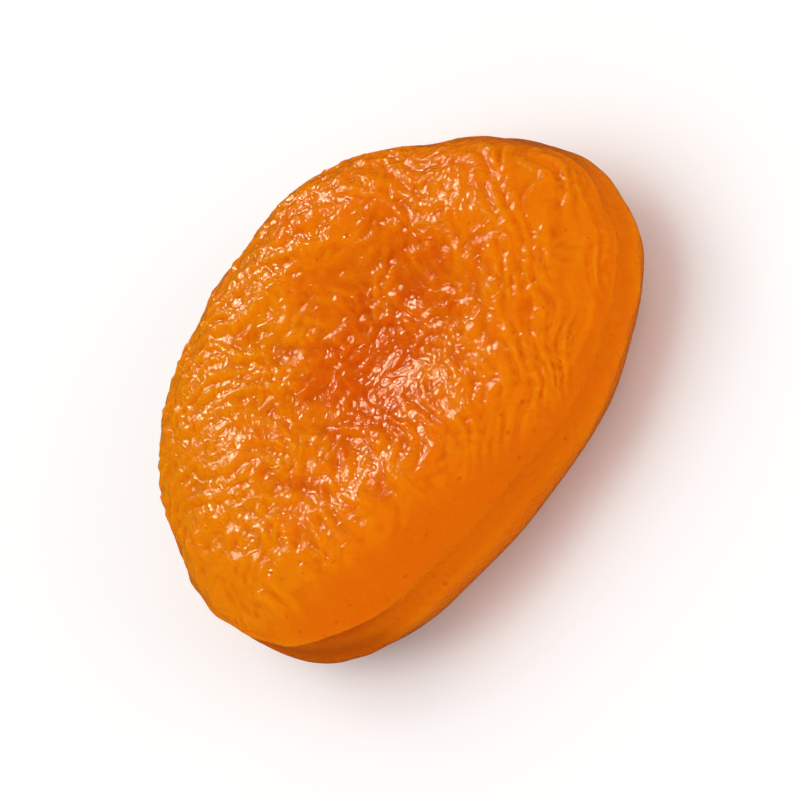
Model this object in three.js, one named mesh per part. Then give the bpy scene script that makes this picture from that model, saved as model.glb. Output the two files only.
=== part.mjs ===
// A soft-dried apricot: a whole fruit whose stone was pressed out through one end, and which dried to
// a plump, lopsided disc. Its rim is a thick roll, both faces have sunk where the stone was, and a seam
// runs round the rim, deepest at the end that the stone left by. The skin has shrunk into a raised net
// of wrinkles. They arch across the faces, crumple in the sunk middle and leave one stretch of the rim
// smooth.
//
// The fruit dried as one piece, so it is one solid. Units are millimetres, +Z is up and +X points along
// the length. The origin is under the middle of the fruit, on the surface that it lies on.

import * as THREE from 'three';
import { ImprovedNoise } from 'three/addons/math/ImprovedNoise.js';

// Driving dimensions
const LENGTH = 42;
const WIDTH = 34.2;
const THICKNESS = 13.2;
const MEAN_RADIUS = ( LENGTH + WIDTH ) / 4;

// The outline seen from above. Each lobe adds a share of the radius, a number of times round, and peaks
// at a bearing in degrees. The wave is the small unevenness that is left over.
const OUTLINE_LOBES = [
	{ count: 2, share: 0.088, bearing: - 26 },
	{ count: 3, share: 0.052, bearing: - 38 },
	{ count: 4, share: 0.016, bearing: 51 },
	{ count: 5, share: 0.019, bearing: - 24 },
];
const WAVE_SHARE = 0.022;
const WAVES_ROUND = 2.4;

// The roll of the rim: how far it reaches in from the edge, half its height, and how much more or less
// its upper half is on the side where it is thickest and opposite it. A squareness of 1 is an ellipse.
const ROLL_WIDTH = 9.5;
const ROLL_HEIGHT = 0.93 * THICKNESS / 2;
const ROLL_SWING = 0.07 * THICKNESS / 2;
const ROLL_BEARING = 60;
const ROLL_SQUARENESS = 1.06;

// The hollows that the stone left: centre, radius and depth.
const TOP_HOLLOWS = [
	{ x: 4.0, y: - 1.5, radius: 9.0, depth: 2.2 },
	{ x: 7.6, y: 2.2, radius: 4.0, depth: 0.4 },
	{ x: - 6.0, y: - 1.5, radius: 7.0, depth: 0.7 },
];
const BOTTOM_HOLLOWS = [
	{ x: - 1.5, y: 1.5, radius: 8.0, depth: 1.9 },
	{ x: 6.0, y: - 3.5, radius: 4.0, depth: 0.8 },
	{ x: 9.8, y: - 10.6, radius: 6.5, depth: 0.42 },
];

// Soft lumps all over, and the twist that drying gave the disc. The underside, which dried against what
// it lay on, takes a smaller share of the twist.
const LUMP_SPAN = 7.5;
const LUMP_HEIGHT = 0.5;
const TWIST = 0.8;
const TWIST_SLANT = 0.6;
const TWIST_BELOW = 0.3;
const TWIST_FADE_TO = 0.5;

// The seam round the rim, with its places and widths as latitudes. It climbs towards the top face on
// the near side, has a lip on each side, and opens into a mouth where the stone left. Under the mouth the
// rim is set back.
const SEAM_LATITUDE = 0.06;
const SEAM_CLIMB = 0.05;
const SEAM_CLIMB_SPREAD = 60;
const SEAM_WAVE = 0.015;
const SEAM_WAVES_ROUND = 3;
const SEAM_WAVE_START = 1;
const SEAM_WIDTH = 0.045;
const SEAM_DEPTH = 0.35;
const LIP_OFFSET = 1.8;
const LIP_HEIGHT = 0.16;
const MOUTH_BEARING = - 168;
const MOUTH_SPREAD = 27;
const MOUTH_DEPTH = 1.5;
const MOUTH_LIP_HEIGHT = 0.45;
const MOUTH_WIDENING = 0.7;
const MOUTH_UNDERCUT = 0.7;

// The net of wrinkles. Folds cross the length and arch towards the mouth, and are long for their width.
// Crumples run every way, and mostly fill the sunk middle, where the folds leave off.
const FOLD_WAVE = { length: 3.0, lowest: 0.5, highest: 1, start: 3 };
const FOLD_HEIGHT = 0.3;
const FOLD_ARCH = 0.045;
const FOLD_STRETCH = 2.2;
const FOLD_WRAP = 0.9;
const SUNK_MIDDLE = new THREE.Vector2( 4.5, - 1 );
const FOLDS_FROM = 3;
const FOLDS_FULL = 10;
const CRUMPLE_WAVE = { length: 3.3, lowest: - 0.45, highest: 0.45, start: 11 };
const CRUMPLE_HEIGHT = 0.26;
const CRUMPLES_LEFT = 0.35;
const CREST_FULLNESS = 1.1;
const WARP_SPAN = 6;
const WARP_REACH = 1.5;

// How many waves add up to the folded skin, and the turns that keep their directions and starts unlike.
const WAVE_COUNT = 16;
const DIRECTION_TURN = THREE.MathUtils.degToRad( 137.5 );
const START_TURN = 7.31;

// The stretch of the rim where the skin stays smooth, and how wrinkled the seam's own band is.
const SMOOTH_BEARING = - 122;
const SMOOTH_SPREAD = 52;
const SMOOTH_TO_LATITUDE = 0.24;
const SMOOTH_FADE = 0.24;
const SMOOTHING = 0.95;
const BAND_LATITUDE = 0.42;
const BAND_WRINKLING = 0.25;

// How far the fruit has settled under its own weight, which leaves small flat spots.
const SETTLE = 0.5;

// The mesh is a low box of squares, blown up: squares along each side of its top and bottom, squares up
// its band, how far its top reaches from the pole, and how strongly its rows are spread.
const PATCH_STEPS = 40;
const BAND_STEPS = 16;
const PATCH_REACH = 0.7;
const ROW_SPREAD = THREE.MathUtils.degToRad( 50 );

const SKIN_COLOUR = 0xe8780c;
const SKIN_ROUGHNESS = 0.32;

// Which of the many unlike patterns of noise each use takes, and the step from one pattern to the next.
const PATTERN = { wave: 3, lumps: 1, warp: [ 5, 6, 7 ] };
const PATTERN_STEP = new THREE.Vector3( 17.3, - 9.1, 4.7 );

const perlin = new ImprovedNoise();
const { smoothstep, degToRad } = THREE.MathUtils;

// Smooth noise from -1 to 1, with the given span.
function noise( point, span, pattern ) {

	const start = PATTERN_STEP.clone().multiplyScalar( pattern );
	const at = point.clone().divideScalar( span ).add( start );
	return perlin.noise( at.x, at.y, at.z );

}

// 1 at a bearing, falling smoothly to 0 on either side.
function nearBearing( azimuth, bearing, spread ) {

	const turn = azimuth - degToRad( bearing );
	const apart = Math.atan2( Math.sin( turn ), Math.cos( turn ) );
	return Math.exp( - ( ( apart / degToRad( spread ) ) ** 2 ) );

}

// Distance from the upright axis to the rim, in a direction.
function outline( azimuth ) {

	const onRing = new THREE.Vector3( Math.cos( azimuth ), Math.sin( azimuth ), 0 );
	let share = 1 + WAVE_SHARE * noise( onRing, 1 / WAVES_ROUND, PATTERN.wave );
	for ( const lobe of OUTLINE_LOBES ) {

		share += lobe.share * Math.cos( lobe.count * ( azimuth - degToRad( lobe.bearing ) ) );

	}

	return MEAN_RADIUS * share;

}

// How deep the hollows are at a place on a face.
function hollowDepth( hollows, x, y ) {

	let depth = 0;
	for ( const hollow of hollows ) {

		const apart = Math.hypot( x - hollow.x, y - hollow.y ) / hollow.radius;
		depth += hollow.depth * Math.exp( - apart * apart );

	}

	return depth;

}

// How open the seam is at a bearing, from 0 to 1 in the mouth.
function seamOpening( azimuth ) {

	return nearBearing( azimuth, MOUTH_BEARING, MOUTH_SPREAD );

}

// The latitude that the seam runs at.
function seamMiddle( azimuth ) {

	const climb = SEAM_CLIMB * nearBearing( azimuth, SMOOTH_BEARING, SEAM_CLIMB_SPREAD );
	const wave = SEAM_WAVE * Math.sin( SEAM_WAVES_ROUND * azimuth + SEAM_WAVE_START );
	return SEAM_LATITUDE + climb * ( 1 - seamOpening( azimuth ) ) + wave;

}

// The seam's groove and the two lips beside it, as a push towards the axis at a place on the rim.
function seamPush( azimuth, latitude ) {

	const open = seamOpening( azimuth );
	const away = ( latitude - seamMiddle( azimuth ) ) / ( SEAM_WIDTH * ( 1 + MOUTH_WIDENING * open ) );
	const fromLip = Math.abs( away ) - LIP_OFFSET;
	const groove = ( SEAM_DEPTH + MOUTH_DEPTH * open ) * Math.exp( - away * away );
	const lips = ( LIP_HEIGHT + MOUTH_LIP_HEIGHT * open ) * Math.exp( - fromLip * fromLip );
	const undercut = MOUTH_UNDERCUT * open * smoothstep( - away, 0, LIP_OFFSET );
	return groove - lips + undercut;

}

// A point of the fruit before its lumps and wrinkles. The latitude runs from -1 under the middle to 1 on
// top of it, in even steps along the surface, and is 0 round the middle of the rim.
function bodyPoint( azimuth, latitude ) {

	const side = latitude < 0 ? - 1 : 1;
	const flat = outline( azimuth ) - ROLL_WIDTH;
	const curve = ( ROLL_HEIGHT + ROLL_WIDTH ) / 2 * Math.PI / 2;
	const along = ( 1 - Math.abs( latitude ) ) * ( flat + curve );
	const turn = Math.max( 0, along - flat ) / curve * Math.PI / 2;
	const onRim = Math.sin( turn ) ** ( 1 / ROLL_SQUARENESS );
	const onFace = Math.cos( turn ) ** ( 1 / ROLL_SQUARENESS );

	const reach = Math.min( along, flat ) + ROLL_WIDTH * onRim - seamPush( azimuth, latitude ) * onRim ** 2;
	const x = reach * Math.cos( azimuth );
	const y = reach * Math.sin( azimuth );

	const swing = ROLL_SWING * reach / MEAN_RADIUS * Math.cos( azimuth - degToRad( ROLL_BEARING ) );
	const hollow = hollowDepth( side > 0 ? TOP_HOLLOWS : BOTTOM_HOLLOWS, x, y );
	const height = ( ROLL_HEIGHT + Math.max( 0, side ) * swing ) * onFace - hollow * onFace ** 2;

	const across = x / ( LENGTH / 2 );
	const up = y / ( WIDTH / 2 );
	const saddle = across * across - up * up + TWIST_SLANT * across * up;
	const above = smoothstep( latitude, - TWIST_FADE_TO, TWIST_FADE_TO );
	const twist = TWIST * THREE.MathUtils.lerp( TWIST_BELOW, 1, above );
	return new THREE.Vector3( x, y, side * height + twist * saddle );

}

// How much the skin is wrinkled at a place, from 0 to 1.
function wrinkling( azimuth, latitude ) {

	const fromSeam = Math.abs( latitude );
	const band = BAND_WRINKLING + ( 1 - BAND_WRINKLING ) * smoothstep( fromSeam, 0, BAND_LATITUDE );
	const onStretch = 1 - smoothstep( fromSeam, SMOOTH_TO_LATITUDE, SMOOTH_TO_LATITUDE + SMOOTH_FADE );
	const smooth = SMOOTHING * nearBearing( azimuth, SMOOTH_BEARING, SMOOTH_SPREAD ) * onStretch;
	return band * ( 1 - smooth );

}

// Folded skin, from -1 in the valleys to 1 on the crests: many waves of one length, whose directions lie
// between a lowest and a highest upward share, add up to short crests of an even width.
function foldedSkin( place, wave ) {

	let sum = 0;
	for ( let i = 0; i < WAVE_COUNT; i ++ ) {

		const up = THREE.MathUtils.lerp( wave.lowest, wave.highest, ( i + 0.5 ) / WAVE_COUNT );
		const level = Math.sqrt( 1 - up * up );
		const turn = DIRECTION_TURN * i;
		const direction = new THREE.Vector3( level * Math.cos( turn ), level * Math.sin( turn ), up );
		const along = 2 * Math.PI * place.dot( direction ) / wave.length;
		sum += Math.cos( along + START_TURN * ( i + wave.start ) ** 2 );

	}

	return Math.tanh( CREST_FULLNESS * sum * Math.sqrt( 2 / WAVE_COUNT ) );

}

// Height of the wrinkles at a place. The warp makes them wander.
function wrinkleHeight( point, azimuth, latitude ) {

	const pushes = PATTERN.warp.map( ( pattern ) => noise( point, WARP_SPAN, pattern ) );
	const warp = new THREE.Vector3( ...pushes );
	const place = point.clone().addScaledVector( warp, WARP_REACH );

	const across = place.x + FOLD_ARCH * place.y ** 2 - FOLD_WRAP * place.z;
	const foldPlace = new THREE.Vector3( place.z, place.y / FOLD_STRETCH, across );

	const fromSunk = SUNK_MIDDLE.distanceTo( new THREE.Vector2( point.x, point.y ) );
	const share = smoothstep( fromSunk, FOLDS_FROM, FOLDS_FULL );
	const folds = FOLD_HEIGHT * share * foldedSkin( foldPlace, FOLD_WAVE );
	const crumples = CRUMPLE_HEIGHT * foldedSkin( place, CRUMPLE_WAVE );
	const spread = THREE.MathUtils.lerp( 1, CRUMPLES_LEFT, share );
	return ( folds + crumples * spread ) * wrinkling( azimuth, latitude );

}

// The places on the surface of a low box of squares, each as an azimuth and a latitude, with the squares
// that join them. Blown up to the fruit, such a box gives even faces with no pole. The middle row of its
// band is drawn to the seam, so the groove is as clean where it climbs as where it is level.
function boxGrid() {

	const spread = ( a ) => Math.tan( a * ROW_SPREAD ) / Math.tan( ROW_SPREAD );
	const spreadBack = ( a ) => Math.atan( a * Math.tan( ROW_SPREAD ) ) / ROW_SPREAD;
	const places = [];
	const squares = [];
	const found = new Map();

	// i and j run across the box, and k runs up it.
	function place( i, j, k ) {

		const key = `${ i },${ j },${ k }`;
		if ( ! found.has( key ) ) {

			const x = spread( 2 * i / PATCH_STEPS - 1 );
			const y = spread( 2 * j / PATCH_STEPS - 1 );
			const up = 2 * k / BAND_STEPS - 1;
			const azimuth = Math.atan2( y, x );
			const fromPole = PATCH_REACH * spreadBack( Math.hypot( x, y ) );
			const drawn = ( 1 - Math.abs( up ) ) * seamMiddle( azimuth );
			found.set( key, places.length );
			places.push( { azimuth, latitude: up * ( 1 - fromPole ) + drawn } );

		}

		return found.get( key );

	}

	function addSquare( ...corners ) {

		squares.push( corners.map( ( corner ) => place( ...corner ) ) );

	}

	const n = PATCH_STEPS;
	const m = BAND_STEPS;
	for ( let i = 0; i < n; i ++ ) {

		for ( let j = 0; j < n; j ++ ) {

			addSquare( [ i, j, m ], [ i + 1, j, m ], [ i + 1, j + 1, m ], [ i, j + 1, m ] );
			addSquare( [ i, j, 0 ], [ i, j + 1, 0 ], [ i + 1, j + 1, 0 ], [ i + 1, j, 0 ] );

		}

		for ( let k = 0; k < m; k ++ ) {

			addSquare( [ i, 0, k ], [ i + 1, 0, k ], [ i + 1, 0, k + 1 ], [ i, 0, k + 1 ] );
			addSquare( [ i + 1, n, k ], [ i, n, k ], [ i, n, k + 1 ], [ i + 1, n, k + 1 ] );
			addSquare( [ n, i, k ], [ n, i + 1, k ], [ n, i + 1, k + 1 ], [ n, i, k + 1 ] );
			addSquare( [ 0, i + 1, k ], [ 0, i, k ], [ 0, i, k + 1 ], [ 0, i + 1, k + 1 ] );

		}

	}

	return { places, squares };

}

// Moves the surface out along its own normals.
function displace( geometry, heightAt ) {

	geometry.computeVertexNormals();
	const position = geometry.getAttribute( 'position' );
	const normal = geometry.getAttribute( 'normal' );
	const point = new THREE.Vector3();
	const out = new THREE.Vector3();
	for ( let i = 0; i < position.count; i ++ ) {

		point.fromBufferAttribute( position, i );
		out.fromBufferAttribute( normal, i );
		point.addScaledVector( out, heightAt( point, i ) );
		position.setXYZ( i, point.x, point.y, point.z );

	}

}

// Scales the geometry to its real size, sinks it a little into the ground and flattens what is below.
function settle( geometry ) {

	geometry.computeBoundingBox();
	const middle = geometry.boundingBox.getCenter( new THREE.Vector3() );
	const size = geometry.boundingBox.getSize( new THREE.Vector3() );
	geometry.translate( - middle.x, - middle.y, - geometry.boundingBox.min.z );
	geometry.scale( LENGTH / size.x, WIDTH / size.y, ( THICKNESS + SETTLE ) / size.z );
	geometry.translate( 0, 0, - SETTLE );

	const position = geometry.getAttribute( 'position' );
	for ( let i = 0; i < position.count; i ++ ) {

		position.setZ( i, Math.max( 0, position.getZ( i ) ) );

	}

}

function apricotGeometry() {

	const { places, squares } = boxGrid();
	const points = places.map( ( place ) => bodyPoint( place.azimuth, place.latitude ) );
	const geometry = new THREE.BufferGeometry().setFromPoints( points );
	geometry.setIndex( squares.flatMap( ( [ a, b, c, d ] ) => [ a, b, c, a, c, d ] ) );
	displace( geometry, ( point ) => LUMP_HEIGHT * noise( point, LUMP_SPAN, PATTERN.lumps ) );
	displace( geometry, ( point, i ) => wrinkleHeight( point, places[ i ].azimuth, places[ i ].latitude ) );
	settle( geometry );
	geometry.computeVertexNormals();
	return geometry;

}

const look = { color: SKIN_COLOUR, roughness: SKIN_ROUGHNESS, metalness: 0 };
const fruit = new THREE.Mesh( apricotGeometry(), new THREE.MeshStandardMaterial( look ) );
fruit.name = 'dried_apricot';

const apricot = new THREE.Group();
apricot.add( fruit );

export default apricot;
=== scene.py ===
# %% [markdown]
# A soft-dried apricot
#
# The fruit is a whole apricot. Its stone was pressed out through one end before it dried, so both faces
# have sunk, the rim is a thick roll, and a seam runs round it. While the flesh shrank, the skin did not,
# so the skin lies in wrinkles. The flesh is clear and sticky like set honey.
#
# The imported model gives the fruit's real size and its main forms. This notebook makes a finer piece over
# it, gives that piece its skin, and sets up a small photo studio. Sizes are in metres.

# %% Load the fixed frame
import math

import bmesh
import bpy
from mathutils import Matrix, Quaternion, Vector


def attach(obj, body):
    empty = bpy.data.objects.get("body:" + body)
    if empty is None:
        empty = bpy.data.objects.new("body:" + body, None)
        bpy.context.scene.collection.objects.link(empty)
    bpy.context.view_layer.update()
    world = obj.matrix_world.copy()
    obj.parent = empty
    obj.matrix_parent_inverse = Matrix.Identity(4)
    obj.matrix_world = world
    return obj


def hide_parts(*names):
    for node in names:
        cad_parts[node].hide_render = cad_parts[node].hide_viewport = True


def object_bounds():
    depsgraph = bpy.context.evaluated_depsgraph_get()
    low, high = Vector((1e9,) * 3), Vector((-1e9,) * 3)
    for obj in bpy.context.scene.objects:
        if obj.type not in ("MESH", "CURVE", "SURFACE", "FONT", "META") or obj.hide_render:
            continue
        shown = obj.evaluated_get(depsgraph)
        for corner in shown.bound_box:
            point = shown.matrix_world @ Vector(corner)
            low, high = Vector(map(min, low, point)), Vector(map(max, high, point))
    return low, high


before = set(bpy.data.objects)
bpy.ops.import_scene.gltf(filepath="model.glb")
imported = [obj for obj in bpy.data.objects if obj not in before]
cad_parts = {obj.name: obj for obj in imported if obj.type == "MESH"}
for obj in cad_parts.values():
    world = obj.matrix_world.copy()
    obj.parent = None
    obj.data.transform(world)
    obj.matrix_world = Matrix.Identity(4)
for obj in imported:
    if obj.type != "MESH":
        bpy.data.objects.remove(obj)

MILLIMETRE = 0.001

cad_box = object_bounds()
fruit_size = cad_box[1] - cad_box[0]
print("fruit size in mm:", [round(side / MILLIMETRE, 2) for side in fruit_size])

# %% [markdown]
# Building node trees in code
#
# Both the wrinkles and the skin are made of nodes. Drawn by hand, a node tree is a picture. In code it
# reads better as formulas, so this helper adds a node, fills its inputs and hands back its output. An
# input may be a number or another node's output, and the helper joins or fills it as fits.
#
# A ramp turns a value into a share. It is given where it starts and ends, and what it is before and after
# that, which is 0 and 1 unless said. Most numbers below are such ramps, so each has a name.

# %% A helper that writes nodes as formulas
class Sheet:
    """A node tree that is written on from top to bottom."""

    def __init__(self, tree):
        self.tree = tree

    def fill(self, node, inputs):
        for key, value in inputs.items():
            if isinstance(value, bpy.types.NodeSocket):
                self.tree.links.new(value, node.inputs[key])
            else:
                node.inputs[key].default_value = value

    def add(self, kind, inputs=None, **options):
        node = self.tree.nodes.new(kind)
        for name, value in options.items():
            setattr(node, name, value)
        self.fill(node, inputs or {})
        return node

    def maths(self, operation, *values):
        return self.add("ShaderNodeMath", dict(enumerate(values)), operation=operation).outputs[0]

    def vector(self, operation, *values):
        node = self.add("ShaderNodeVectorMath", dict(enumerate(values)), operation=operation)
        return node.outputs["Value" if operation in ("LENGTH", "DOT_PRODUCT") else "Vector"]

    def grow(self, vector, factor):
        inputs = {"Vector": vector, "Scale": factor}
        return self.add("ShaderNodeVectorMath", inputs, operation="SCALE").outputs["Vector"]

    def join(self, x, y, z):
        return self.add("ShaderNodeCombineXYZ", {0: x, 1: y, 2: z}).outputs[0]

    def split(self, vector):
        return self.add("ShaderNodeSeparateXYZ", {0: vector}).outputs

    def ramp(self, value, start, end, low=0.0, high=1.0, smooth=True):
        inputs = {"Value": value, "From Min": start, "From Max": end, "To Min": low, "To Max": high}
        kind = "SMOOTHSTEP" if smooth else "LINEAR"
        return self.add("ShaderNodeMapRange", inputs, interpolation_type=kind).outputs["Result"]

    def noise(self, vector, span, detail=0.0, seed=0.0):
        scale = self.maths("DIVIDE", 1.0, span)
        inputs = {"Vector": vector, "W": seed, "Scale": scale, "Detail": detail}
        return self.add("ShaderNodeTexNoise", inputs, noise_dimensions="4D")

    def blend(self, factor, one, other):
        # Inputs 6 and 7 and output 2 are the ones that take and give colours.
        inputs = {"Factor": factor, 6: one, 7: other}
        return self.add("ShaderNodeMix", inputs, data_type="RGBA").outputs[2]


def new_group(name, kind, inputs, outputs):
    """A node group with named inputs and outputs, as a sheet, its inputs and its output node."""
    tree = bpy.data.node_groups.new(name, kind)
    for label, socket_type, default in inputs:
        socket = tree.interface.new_socket(label, in_out="INPUT", socket_type="NodeSocket" + socket_type)
        if default is not None:
            socket.default_value = default
    for label, socket_type in outputs:
        tree.interface.new_socket(label, in_out="OUTPUT", socket_type="NodeSocket" + socket_type)
    sheet = Sheet(tree)
    return sheet, sheet.add("NodeGroupInput").outputs, sheet.add("NodeGroupOutput")


# %% [markdown]
# The body
#
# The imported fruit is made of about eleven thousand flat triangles, with wrinkles as fine as those can
# hold. Sculpting over it would be the usual way by hand. Here a copy is merged, its triangles are paired
# back into the squares that they came from, and a Subdivision Surface rounds them off twice. Squares
# matter: Subdivision Surface makes smooth skin of squares, and small stars of triangles.

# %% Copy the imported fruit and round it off
WELD_DISTANCE = 0.001 * MILLIMETRE
SUBDIVISIONS = 2


def rounded_copy(node_name, name):
    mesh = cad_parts[node_name].data.copy()
    grid = bmesh.new()
    grid.from_mesh(mesh)
    bmesh.ops.remove_doubles(grid, verts=grid.verts, dist=WELD_DISTANCE)
    bmesh.ops.join_triangles(
        grid, faces=grid.faces, angle_face_threshold=math.pi, angle_shape_threshold=math.pi,
    )
    squares = sum(len(face.verts) == 4 for face in grid.faces)
    print("squares:", squares, "of", len(grid.faces), "faces")
    grid.to_mesh(mesh)
    grid.free()
    mesh.materials.clear()

    piece = bpy.data.objects.new(name, mesh)
    bpy.context.scene.collection.objects.link(piece)
    rounding = piece.modifiers.new("rounding", "SUBSURF")
    rounding.levels = SUBDIVISIONS
    rounding.render_levels = SUBDIVISIONS
    return piece


fruit = rounded_copy("dried_apricot", "fruit")

# %% [markdown]
# Folded skin
#
# A skin that is too large for what it covers buckles into crests of nearly one width. Noise textures look
# too cloudy for this, because they mix many widths. Adding up waves of one length, each in its own
# direction, gives what real buckling gives: short crests that bend, stop and begin again.
#
# The group below adds the waves in a Repeat Zone. Each turn of the zone picks the next direction, a fixed
# angle on from the last, so nothing is random. Directions are kept between a lowest and a highest share
# of the third axis. Shares near 1 line the waves up, which makes long folds across that axis, and shares
# near 0 let them run every way, which makes a crumple. What comes out is 0 between the crests and rises
# to 1 on them.

# %% A group that makes folded skin
DIRECTION_TURN = math.radians(137.5)
START_TURN = 7.31
CREST_FULLNESS = 1.1
CREST_FOOT = -0.9
CREST_TOP = 0.95


def folded_skin_group():
    inputs = [
        ("Place", "Vector", None), ("Length", "Float", 0.002), ("Lowest", "Float", 0.5),
        ("Highest", "Float", 1.0), ("Waves", "Int", 16), ("Start", "Float", 3.0),
    ]
    sheet, given, result = new_group("Folded skin", "GeometryNodeTree", inputs, [("Height", "Float")])
    first = sheet.add("GeometryNodeRepeatInput")
    last = sheet.add("GeometryNodeRepeatOutput")
    first.pair_with_output(last)
    last.repeat_items.clear()
    last.repeat_items.new("FLOAT", "Sum")
    sheet.tree.links.new(given["Waves"], first.inputs["Iterations"])

    turn = first.outputs["Iteration"]
    share = sheet.maths("DIVIDE", sheet.maths("ADD", turn, 0.5), given["Waves"])
    up = sheet.ramp(share, 0.0, 1.0, given["Lowest"], given["Highest"], smooth=False)
    level = sheet.maths("SQRT", sheet.maths("SUBTRACT", 1.0, sheet.maths("MULTIPLY", up, up)))
    angle = sheet.maths("MULTIPLY", turn, DIRECTION_TURN)
    direction = sheet.join(
        sheet.maths("MULTIPLY", level, sheet.maths("COSINE", angle)),
        sheet.maths("MULTIPLY", level, sheet.maths("SINE", angle)),
        up,
    )
    along = sheet.maths("DIVIDE", sheet.vector("DOT_PRODUCT", given["Place"], direction), given["Length"])
    begin = sheet.maths("POWER", sheet.maths("ADD", turn, given["Start"]), 2.0)
    begin = sheet.maths("MULTIPLY", START_TURN, begin)
    wave = sheet.maths("COSINE", sheet.maths("MULTIPLY_ADD", along, 2 * math.pi, begin))
    total = sheet.maths("ADD", first.outputs["Sum"], wave)
    sheet.tree.links.new(total, last.inputs["Sum"])

    even = sheet.maths("SQRT", sheet.maths("DIVIDE", 2.0, given["Waves"]))
    height = sheet.maths("MULTIPLY", sheet.maths("MULTIPLY", last.outputs["Sum"], even), CREST_FULLNESS)
    raised = sheet.ramp(sheet.maths("TANH", height), CREST_FOOT, CREST_TOP)
    sheet.tree.links.new(raised, result.inputs["Height"])
    return sheet.tree


folded_skin = folded_skin_group()
print("nodes in the folded skin:", len(folded_skin.nodes))

# %% [markdown]
# Wrinkles on the fruit
#
# On the real fruit the folds arch across the faces, and the sunk middle is crumpled every way. Between
# them lies a finer wrinkling. One stretch of the rim stays smooth, and so does the outline.
#
# The imported fruit's own wrinkles are twice as wide as the real ones, because its triangles can't hold
# finer ones. So the tree first relaxes the skin towards a blurred copy of itself, which leaves the swells
# and takes the wrinkles down. The near side of the rim is left alone, and the seam's band nearly so, as
# both have to stay sharp. Then the tree measures each point's place along and across the folds and asks
# the group for a height there. A slow noise bends the places first, so that no fold runs straight, and
# two others make some patches flatter. Set Position moves the points along their normals.
#
# Three values are stored for the skin's colour to follow: how high each point lies, and where the packed
# fruit had a groove or a lip. The colour paints shade into the low places and grooves, and a highlight
# onto the lips.

# %% The sizes of the wrinkles
WRINKLE_SIZES = {
    "Relaxing": 0.85,
    "Fold Length": 0.0015,
    "Fold Height": 0.00027,
    "Fold Bend": 45.0,
    "Fold Stretch": 2.2,
    "Fold Wrap": 0.9,
    "Crumple Length": 0.0012,
    "Crumple Height": 0.00023,
    "Fine Length": 0.0007,
    "Fine Height": 0.00006,
    "Bend Span": 0.004,
    "Bend Reach": 0.0036,
}
RELAXING_STEPS = 60
CALM_STEPS = 12
SUNK_MIDDLE = (0.0045, -0.001, 0.0)
LEVEL = (1.0, 1.0, 0.0)
SMOOTH_BEARING = math.radians(-118)
SMOOTH_DIRECTION = (math.cos(SMOOTH_BEARING), math.sin(SMOOTH_BEARING), 0.0)
MOUTH_BEARING = math.radians(-168)
MOUTH_DIRECTION = (math.cos(MOUTH_BEARING), math.sin(MOUTH_BEARING), 0.0)

# Lowest and highest direction of each kind of wrinkle
FOLD_DIRECTIONS = (0.25, 1.0)
CRUMPLE_DIRECTIONS = (-0.45, 0.45)
FINE_DIRECTIONS = (-0.5, 0.5)

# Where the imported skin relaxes, by how steep it is and how far round
ON_FACE = (0.2, 0.5)
ROUND_TO_NEAR_SIDE = (0.5, 0.0)
OFF_SEAM = (0.15, 0.35, 0.25, 0.95)

# How deep a groove, how proud a lip and how high a crest are at their fullest
GROOVE_DEPTH = (0.00002, 0.00025)
LIP_DEPTH = (-0.00008, -0.0003)
CREST_HEIGHT = (0.0, 0.0002)

# How strong the wrinkles are, by the distance from the sunk middle
FOLDS_FROM_MIDDLE = (0.003, 0.010, 0.35, 1.0)
CRUMPLES_FROM_MIDDLE = (0.003, 0.010, 1.0, 0.65)

# Slow and quick patches where they are flatter
SLOW_PATCH_SPAN = 0.006
SLOW_PATCHES = (0.3, 0.62, 0.7, 1.0)
QUICK_PATCH_SPAN = 0.0018
QUICK_PATCHES = (0.35, 0.6, 0.5, 1.0)

# The smooth stretch, the calmer end with the mouth, and the rim from above and from below
SMOOTH_STRETCH = (0.0102, 0.0142)
MOUTH_END = (-0.013, -0.019, 0.0, 0.3)
UPPER_RIM = (0.4, 0.85, 0.06, 1.0)
LOWER_RIM = (-0.7, -0.95)


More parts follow.
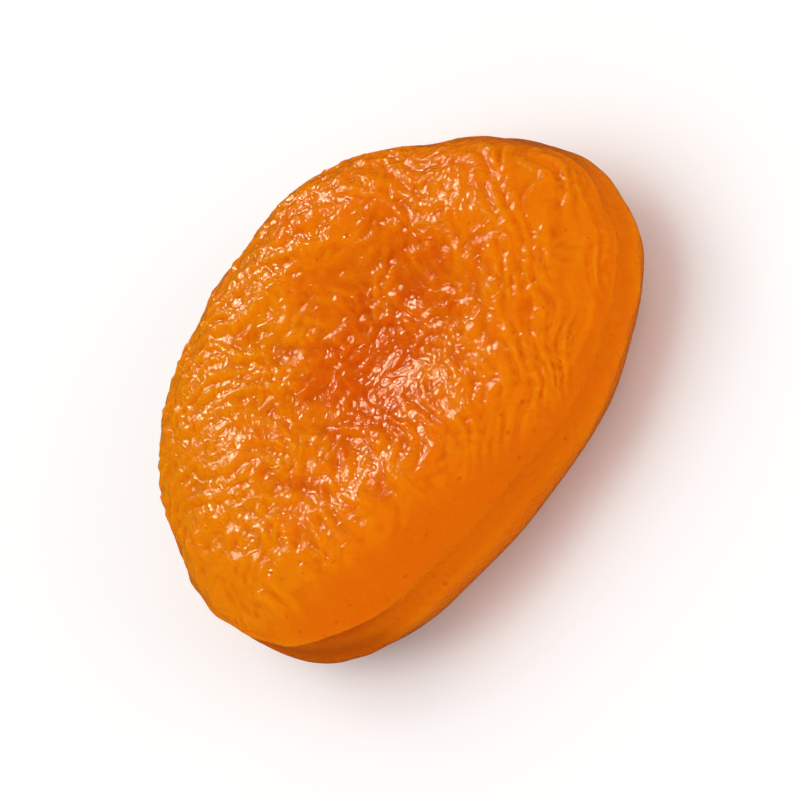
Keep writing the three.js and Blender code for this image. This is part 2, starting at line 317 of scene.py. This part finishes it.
# %% The tree that wrinkles the skin
def wrinkle_tree():
    inputs = [("Geometry", "Geometry", None), ("Skin", "Material", None)]
    inputs += [(label, "Float", None) for label in WRINKLE_SIZES]
    outputs = [("Geometry", "Geometry")]
    sheet, given, result = new_group("Wrinkled skin", "GeometryNodeTree", inputs, outputs)

    def blurred(field, steps):
        inputs = {"Value": field, "Iterations": steps}
        return sheet.add("GeometryNodeBlurAttribute", inputs, data_type="FLOAT_VECTOR").outputs[0]

    def moved(geometry, offset):
        return sheet.add("GeometryNodeSetPosition", {"Geometry": geometry, "Offset": offset}).outputs[0]

    def stored(geometry, name, field):
        inputs = {"Geometry": geometry, "Name": name, "Value": field}
        options = {"data_type": "FLOAT", "domain": "POINT"}
        return sheet.add("GeometryNodeStoreNamedAttribute", inputs, **options).outputs[0]

    def folded(place, length, directions, start):
        group = sheet.add("GeometryNodeGroup", node_tree=folded_skin)
        lowest, highest = directions
        sheet.fill(group, {"Place": place, "Length": length, "Start": start})
        sheet.fill(group, {"Lowest": lowest, "Highest": highest})
        return group.outputs["Height"]

    position = sheet.add("GeometryNodeInputPosition").outputs[0]
    normal = sheet.add("GeometryNodeInputNormal").outputs[0]
    facing = sheet.split(sheet.vector("NORMALIZE", blurred(normal, CALM_STEPS)))["Z"]
    evenness = sheet.maths("ABSOLUTE", facing)
    on_face = sheet.ramp(evenness, *ON_FACE)

    # The skin relaxes, less so on the rim's near side and along the seam, which have to stay sharp.
    outward = sheet.vector("NORMALIZE", sheet.vector("MULTIPLY", position, LEVEL))
    towards = sheet.vector("DOT_PRODUCT", outward, SMOOTH_DIRECTION)
    far_side = sheet.ramp(towards, *ROUND_TO_NEAR_SIDE)
    off_seam = sheet.ramp(evenness, *OFF_SEAM)
    relaxing = sheet.maths("MAXIMUM", on_face, sheet.maths("MULTIPLY", far_side, off_seam))
    sink = sheet.vector("SUBTRACT", blurred(position, RELAXING_STEPS), position)
    hollow = sheet.vector("DOT_PRODUCT", sink, normal)
    # The groove share feeds painted shade in the flesh colour, and the lip share a painted highlight.
    body = stored(given["Geometry"], "groove", sheet.ramp(hollow, *GROOVE_DEPTH))
    body = stored(body, "lip", sheet.ramp(hollow, *LIP_DEPTH))
    body = moved(body, sheet.grow(sink, sheet.maths("MULTIPLY", relaxing, given["Relaxing"])))

    # Places are bent, then measured along and across the folds.
    bend = sheet.noise(position, given["Bend Span"], seed=2.0).outputs["Color"]
    bend = sheet.vector("SUBTRACT", bend, (0.5, 0.5, 0.5))
    place = sheet.vector("ADD", position, sheet.grow(bend, given["Bend Reach"]))
    spot = sheet.split(place)
    sideways = sheet.maths("SUBTRACT", spot["Y"], SUNK_MIDDLE[1])
    arch = sheet.maths("MULTIPLY", given["Fold Bend"], sheet.maths("MULTIPLY", sideways, sideways))
    across = sheet.maths("ADD", spot["X"], arch)
    across = sheet.maths("SUBTRACT", across, sheet.maths("MULTIPLY", spot["Z"], given["Fold Wrap"]))
    fold_place = sheet.join(spot["Z"], sheet.maths("DIVIDE", spot["Y"], given["Fold Stretch"]), across)
    from_sunk = sheet.vector("SUBTRACT", position, SUNK_MIDDLE)
    apart = sheet.vector("LENGTH", sheet.vector("MULTIPLY", from_sunk, LEVEL))

    # Three kinds of wrinkles.
    folds = folded(fold_place, given["Fold Length"], FOLD_DIRECTIONS, start=5.0)
    folds = sheet.maths("MULTIPLY", folds, sheet.ramp(apart, *FOLDS_FROM_MIDDLE))
    folds = sheet.maths("MULTIPLY", folds, given["Fold Height"])
    crumples = folded(place, given["Crumple Length"], CRUMPLE_DIRECTIONS, start=13.0)
    crumples = sheet.maths("MULTIPLY", crumples, sheet.ramp(apart, *CRUMPLES_FROM_MIDDLE))
    crumples = sheet.maths("MULTIPLY", crumples, given["Crumple Height"])
    fine = folded(place, given["Fine Length"], FINE_DIRECTIONS, start=21.0)
    fine = sheet.maths("MULTIPLY", fine, given["Fine Height"])
    height = sheet.maths("ADD", sheet.maths("ADD", folds, crumples), fine)

    # They fade in patches, on the rim's side and on its smooth stretch.
    slow = sheet.noise(position, SLOW_PATCH_SPAN, seed=5.0).outputs["Fac"]
    quick = sheet.noise(position, QUICK_PATCH_SPAN, seed=7.0).outputs["Fac"]
    patchy = sheet.maths("MULTIPLY", sheet.ramp(slow, *SLOW_PATCHES), sheet.ramp(quick, *QUICK_PATCHES))
    near = sheet.vector("DOT_PRODUCT", position, SMOOTH_DIRECTION)
    mouth_end = sheet.ramp(sheet.split(position)["X"], *MOUTH_END)
    smooth = sheet.maths("MAXIMUM", sheet.ramp(near, *SMOOTH_STRETCH), mouth_end)
    off_rim = sheet.maths("MAXIMUM", sheet.ramp(facing, *UPPER_RIM), sheet.ramp(facing, *LOWER_RIM))
    strength = sheet.maths("MULTIPLY", patchy, sheet.maths("SUBTRACT", 1.0, smooth))
    strength = sheet.maths("MULTIPLY", strength, off_rim)
    height = sheet.maths("MULTIPLY", height, strength)

    skin = moved(body, sheet.grow(normal, height))
    # The crest share also lets the flesh colour paint shade into the low places between crests.
    skin = stored(skin, "crest", sheet.ramp(height, *CREST_HEIGHT, smooth=False))
    whole = sheet.add("GeometryNodeRealizeInstances", {"Geometry": skin}).outputs[0]
    shown = sheet.add("GeometryNodeSetShadeSmooth", {"Geometry": whole}).outputs[0]
    dressed = sheet.add("GeometryNodeSetMaterial", {"Geometry": shown, "Material": given["Skin"]}).outputs[0]
    sheet.tree.links.new(dressed, result.inputs["Geometry"])
    return sheet.tree


# %% [markdown]
# Keeping the result
#
# A Geometry Nodes modifier is worked out again each time that it is looked at. Its result is kept as a plain
# mesh instead.

# %% Run the tree and keep its result as a plain mesh
def use_tree(piece, tree, values):
    modifier = piece.modifiers.new(tree.name, "NODES")
    modifier.node_group = tree
    for socket in tree.interface.items_tree:
        if socket.item_type == "SOCKET" and socket.in_out == "INPUT" and socket.name in values:
            modifier[socket.identifier] = values[socket.name]


def keep_result(piece):
    bpy.context.view_layer.update()
    evaluated = piece.evaluated_get(bpy.context.evaluated_depsgraph_get())
    mesh = bpy.data.meshes.new_from_object(evaluated)
    piece.modifiers.clear()
    piece.data = mesh


skin = bpy.data.materials.new("apricot skin")
use_tree(fruit, wrinkle_tree(), {**WRINKLE_SIZES, "Skin": skin})
keep_result(fruit)
print("wrinkled skin:", len(fruit.data.vertices), "points,", len(fruit.data.polygons), "faces")

# %% [markdown]
# Fitting the skin to the real size
#
# Rounding off and relaxing have shrunk the fruit by a hair, and wrinkling has moved its outermost points.
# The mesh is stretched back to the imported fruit's box, side by side, which moves no point by more than a
# third of a millimetre or so. Soft fruit also settles on what it lies on, so the lowest points are
# pressed flat.

# %% Stretch the fruit to its box and let it settle
SETTLE = 0.12 * MILLIMETRE


def fit_to_box(mesh, low, high, settle):
    size = high - low
    start = [min(point.co[axis] for point in mesh.vertices) for axis in range(3)]
    end = [max(point.co[axis] for point in mesh.vertices) for axis in range(3)]
    start[2] += settle
    for point in mesh.vertices:
        for axis in range(3):
            share = (point.co[axis] - start[axis]) / (end[axis] - start[axis])
            point.co[axis] = low[axis] + share * size[axis]
        point.co.z = max(point.co.z, low.z)
    mesh.update()
    return [(size[axis] - (end[axis] - start[axis])) / MILLIMETRE for axis in range(3)]


stretch = fit_to_box(fruit.data, cad_box[0], cad_box[1], SETTLE)
print("stretched by mm:", [round(side, 3) for side in stretch])

# %% [markdown]
# The flesh and the skin
#
# Dried apricot is clear and orange right through, so light goes in, wanders and comes out tinted. That
# is subsurface scattering, and its radius is far larger for red light than for blue. The skin is moist,
# so it is glossy, but its fine grain breaks each highlight into sparks. The gloss has to come from the
# same layer that the grain is in: a Coat would lie over the grain and look like plastic film.
#
# The fruit is amber on its far side and at the end with the mouth, and orange on the near side. The sunk
# middle is redder, partly as the flesh's own tone and partly as painted shade. The creases and grooves, such
# as the seam, are redder as painted shade, the seam's lips are amber as a painted highlight, and the mouth
# is brown as a painted shadow under its lip. A few small freckles lie on it all. Two groups give these: one
# mixes the colour, the other makes the grain.

# %% Where the flesh changes colour, and where shade, a highlight and a shadow are painted
BLOTCH_SPAN = 0.006
BLOTCH_DRIFT = (0.3, 0.7, -0.004, 0.004)
# Redder towards the sunk middle: partly the flesh's own tone, partly painted shade of the hollow
RED_AND_SHADE_FROM_MIDDLE = (0.001, 0.0105, 0.8, 0.0)
AMBER_DIRECTION = (-0.6, 0.8, 0.0)
AMBER_FROM_MIDDLE = (0.002, 0.014)
# Painted shade: the low places between the crests are darker and redder
PAINTED_SHADE_IN_CREASES = (0.0, 0.35, 0.3, 0.0)
# Painted shade: darker and redder in the grooves, such as the seam
PAINTED_SHADE_IN_GROOVE = 0.6
# Painted highlight: a lighter amber line along the seam's lips
PAINTED_HIGHLIGHT_ON_LIP = 0.6
# Painted shadow: brown under the mouth's lip
PAINTED_SHADOW_IN_MOUTH = 0.65
FRECKLE_SPAN = 0.0005
FRECKLES = (0.76, 0.82, 0.0, 0.6)

# How far the painted shadow under the mouth's lip reaches: to the sides, up to its upper lip, and in from
# the rim
MOUTH_SHADOW_SIDES = (0.86, 0.97)
MOUTH_SHADOW_TOP = (0.0078, 0.0062)
MOUTH_SHADOW_FROM_AXIS = (0.0135, 0.0175)


# %% A group for the colour of the flesh
def flesh_colour_group():
    # The darkest colour is a painted shadow for the mouth.
    inputs = [
        ("Place", "Vector", None), ("Crest", "Float", 0.5), ("Groove", "Float", 0.0),
        ("Amber", "Color", (0.80, 0.235, 0.001, 1.0)), ("Orange", "Color", (0.82, 0.205, 0.001, 1.0)),
        ("Red", "Color", (0.68, 0.09, 0.001, 1.0)), ("Mouth Shadow", "Color", (0.42, 0.055, 0.001, 1.0)),
        ("Middle", "Vector", (0.002, -0.001, 0.0)), ("Lip", "Float", 0.0),
    ]
    sheet, given, result = new_group("Flesh colour", "ShaderNodeTree", inputs, [("Color", "Color")])
    away = sheet.vector("SUBTRACT", given["Place"], given["Middle"])
    level = sheet.vector("MULTIPLY", away, LEVEL)
    blotch = sheet.noise(given["Place"], BLOTCH_SPAN, detail=3.0, seed=1.0).outputs["Fac"]
    drift = sheet.ramp(blotch, *BLOTCH_DRIFT)
    reach = sheet.maths("ADD", sheet.vector("LENGTH", level), drift)
    far_side = sheet.maths("ADD", sheet.vector("DOT_PRODUCT", level, AMBER_DIRECTION), drift)
    colour = sheet.blend(sheet.ramp(far_side, *AMBER_FROM_MIDDLE), given["Orange"], given["Amber"])
    # Redder towards the sunk middle, as the flesh's own tone and as painted shade in one
    colour = sheet.blend(sheet.ramp(reach, *RED_AND_SHADE_FROM_MIDDLE), colour, given["Red"])
    # Painted shade: darker and redder in the low places between the crests
    colour = sheet.blend(sheet.ramp(given["Crest"], *PAINTED_SHADE_IN_CREASES), colour, given["Red"])
    # Painted shade: darker and redder in the grooves
    colour = sheet.blend(sheet.maths("MULTIPLY", given["Groove"], PAINTED_SHADE_IN_GROOVE), colour, given["Red"])
    # Painted highlight: lighter amber on the seam's lips
    colour = sheet.blend(sheet.maths("MULTIPLY", given["Lip"], PAINTED_HIGHLIGHT_ON_LIP), colour, given["Amber"])

    # Painted shadow: brown below the mouth's upper lip, where the rim turns under
    height = sheet.split(given["Place"])["Z"]
    outward = sheet.vector("MULTIPLY", given["Place"], LEVEL)
    mouth = sheet.vector("DOT_PRODUCT", sheet.vector("NORMALIZE", outward), MOUTH_DIRECTION)
    mouth = sheet.ramp(mouth, *MOUTH_SHADOW_SIDES)
    mouth = sheet.maths("MULTIPLY", mouth, sheet.ramp(height, *MOUTH_SHADOW_TOP))
    from_axis = sheet.vector("LENGTH", outward)
    mouth = sheet.maths("MULTIPLY", mouth, sheet.ramp(from_axis, *MOUTH_SHADOW_FROM_AXIS))
    colour = sheet.blend(sheet.maths("MULTIPLY", mouth, PAINTED_SHADOW_IN_MOUTH), colour, given["Mouth Shadow"])

    dots = sheet.noise(given["Place"], FRECKLE_SPAN, seed=6.0).outputs["Fac"]
    colour = sheet.blend(sheet.ramp(dots, *FRECKLES), colour, given["Red"])
    sheet.tree.links.new(colour, result.inputs["Color"])
    return sheet.tree


flesh_colour = flesh_colour_group()
print("nodes in the flesh colour:", len(flesh_colour.nodes))


# %% [markdown]
# The grain
#
# The skin has a grain of a fifth of a millimetre, puckers of half a millimetre and fine raised squiggles
# between them. All are too small to be worth moving points for, so they only tilt the light, as bump. A
# squiggle runs where a noise passes its middle value, because that draws thin, wandering lines.

# %% A group for the grain of the skin
NOISE_MIDDLE = 0.5
SQUIGGLE_PROFILE = (0.0, 0.12, 0.7, 0.0)


def skin_grain_group():
    inputs = [
        ("Place", "Vector", None), ("Grain", "Float", 0.0002), ("Pucker", "Float", 0.0005),
        ("Squiggle", "Float", 0.0008),
    ]
    sheet, given, result = new_group("Skin grain", "ShaderNodeTree", inputs, [("Height", "Float")])
    grain = sheet.noise(given["Place"], given["Grain"], detail=2.0, seed=3.0).outputs["Fac"]
    pucker = sheet.noise(given["Place"], given["Pucker"], detail=1.0, seed=4.0).outputs["Fac"]
    wander = sheet.noise(given["Place"], given["Squiggle"], seed=8.0).outputs["Fac"]
    off_line = sheet.maths("ABSOLUTE", sheet.maths("SUBTRACT", wander, NOISE_MIDDLE))
    squiggles = sheet.ramp(off_line, *SQUIGGLE_PROFILE)
    height = sheet.maths("ADD", sheet.maths("ADD", grain, pucker), squiggles)
    sheet.tree.links.new(height, result.inputs["Height"])
    return sheet.tree


skin_grain = skin_grain_group()
print("nodes in the skin grain:", len(skin_grain.nodes))

# %% [markdown]
# The apricot's material
#
# The shader itself stays outside the groups. Its numbers that are the same all over are set on it
# directly, and the groups only bring it what changes from place to place.

# %% The apricot's material
def make_skin(material):
    material.use_nodes = True
    sheet = Sheet(material.node_tree)
    surface = material.node_tree.nodes["Principled BSDF"]
    place = sheet.add("ShaderNodeTexCoord").outputs["Object"]
    crest = sheet.add("ShaderNodeAttribute", attribute_name="crest").outputs["Fac"]
    groove = sheet.add("ShaderNodeAttribute", attribute_name="groove").outputs["Fac"]
    lip = sheet.add("ShaderNodeAttribute", attribute_name="lip").outputs["Fac"]
    colour = sheet.add("ShaderNodeGroup", node_tree=flesh_colour)
    sheet.fill(colour, {"Place": place, "Crest": crest, "Groove": groove, "Lip": lip})
    grain = sheet.add("ShaderNodeGroup", node_tree=skin_grain)
    sheet.fill(grain, {"Place": place})
    bump = sheet.add("ShaderNodeBump", {"Height": grain.outputs["Height"], "Distance": 0.00005})
    sheet.fill(surface, {"Base Color": colour.outputs["Color"], "Normal": bump.outputs["Normal"]})
    sheet.fill(surface, {"Roughness": 0.11, "IOR": 1.46, "Subsurface Weight": 1.0})
    sheet.fill(surface, {"Subsurface Radius": (1.0, 0.35, 0.05), "Subsurface Scale": 0.003})


make_skin(skin)
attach(fruit, "root")
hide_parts("dried_apricot")

# %% [markdown]
# The studio
#
# A food photographer lays such fruit on a white board and lights it from behind. The light glances off
# the far rim and off every crest that faces back, while the near rim stays free of glare. The gloss
# doesn't show the board, which would lay a pale veil over the orange.

# %% The floor
FLOOR_SIZE = 3.0
BOARD_WHITE = (0.97, 0.97, 0.97, 1.0)
BOARD_ROUGHNESS = 0.7


def make_floor():
    half = FLOOR_SIZE / 2
    corners = [(-half, -half, 0), (half, -half, 0), (half, half, 0), (-half, half, 0)]
    mesh = bpy.data.meshes.new("floor")
    mesh.from_pydata(corners, [], [(0, 1, 2, 3)])
    floor = bpy.data.objects.new("floor", mesh)
    bpy.context.scene.collection.objects.link(floor)
    paper = bpy.data.materials.new("white board")
    paper.use_nodes = True
    board = paper.node_tree.nodes["Principled BSDF"]
    board.inputs["Base Color"].default_value = BOARD_WHITE
    board.inputs["Roughness"].default_value = BOARD_ROUGHNESS
    mesh.materials.append(paper)
    floor.visible_glossy = False


make_floor()

# %% [markdown]
# The camera
#
# The photograph looks down on the fruit at a slant, and the fruit lies turned in the frame. Laid flat on
# its face here, it is seen from the same side when the camera stands 53 degrees above the table and is
# rolled by 63 degrees. The lens is long, because the photograph shows little perspective. The camera
# aims a little off the fruit's middle, which puts the fruit where it stands in the photograph.

# %% The camera
CAMERA_ELEVATION = math.radians(53)
CAMERA_ROLL = math.radians(63)
CAMERA_DISTANCE = 0.4
FRAME_WIDTH = 0.058
SENSOR_WIDTH = 36.0
AIM = Vector((-0.0006, -0.0018, fruit_size.z / 2))


def make_camera(target):
    back = Vector((0.0, -math.cos(CAMERA_ELEVATION), math.sin(CAMERA_ELEVATION)))
    data = bpy.data.cameras.new("camera")
    data.sensor_width = SENSOR_WIDTH
    data.lens = SENSOR_WIDTH * CAMERA_DISTANCE / FRAME_WIDTH
    data.clip_start = 0.01
    camera = bpy.data.objects.new("camera", data)
    camera.location = target + back * CAMERA_DISTANCE
    turn = (-back).to_track_quat("-Z", "Y") @ Quaternion((0, 0, 1), -CAMERA_ROLL)
    camera.rotation_euler = turn.to_euler()
    bpy.context.scene.collection.objects.link(camera)
    bpy.context.scene.camera = camera
    return camera


make_camera(AIM)

# %% [markdown]
# The lights
#
# A small lamp stands low behind the fruit and shows only in the gloss, where each crest mirrors it as a
# bright fleck. Two large soft lights, overhead and in front, and the bright room light the flesh. The
# gloss doesn't show those lights, and shows the room only dimly. Black card round a set does the same,
# and keeps the colour of glossy food deep.

# %% The lights
LIGHTS = {
    "sparkle lamp": {
        "place": (0.062, 0.352, 0.257), "size": 0.12, "power": 1.2,
        "colour": (1.0, 0.84, 0.6), "mirrored": True,
    },
    "overhead fill": {
        "place": (-0.10, 0.16, 0.48), "size": 0.50, "power": 1.45,
        "colour": (1.0, 1.0, 1.0), "mirrored": False,
    },
    "front fill": {
        "place": (0.20, -0.40, 0.16), "size": 0.30, "power": 0.6,
        "colour": (1.0, 1.0, 1.0), "mirrored": False,
    },
}
ROOM_BRIGHTNESS = 0.6
ROOM_IN_REFLECTIONS = 0.03


def make_light(name, place, size, power, colour, mirrored):
    data = bpy.data.lights.new(name, "AREA")
    data.size = size
    data.energy = power
    data.color = colour
    light = bpy.data.objects.new(name, data)
    light.location = place
    light.visible_glossy = mirrored
    light.visible_diffuse = not mirrored
    light.rotation_euler = (AIM - Vector(place)).to_track_quat("-Z", "Y").to_euler()
    bpy.context.scene.collection.objects.link(light)


for name, settings in LIGHTS.items():
    make_light(name, **settings)


def make_room():
    room = bpy.data.worlds.new("room")
    room.use_nodes = True
    sheet = Sheet(room.node_tree)
    mirrored = sheet.add("ShaderNodeLightPath").outputs["Is Glossy Ray"]
    strength = sheet.ramp(mirrored, 0.0, 1.0, ROOM_BRIGHTNESS, ROOM_IN_REFLECTIONS, smooth=False)
    sheet.fill(room.node_tree.nodes["Background"], {"Color": (1.0, 1.0, 1.0, 1.0), "Strength": strength})
    return room


bpy.context.scene.world = make_room()
bpy.context.scene.view_settings.view_transform = "Standard"
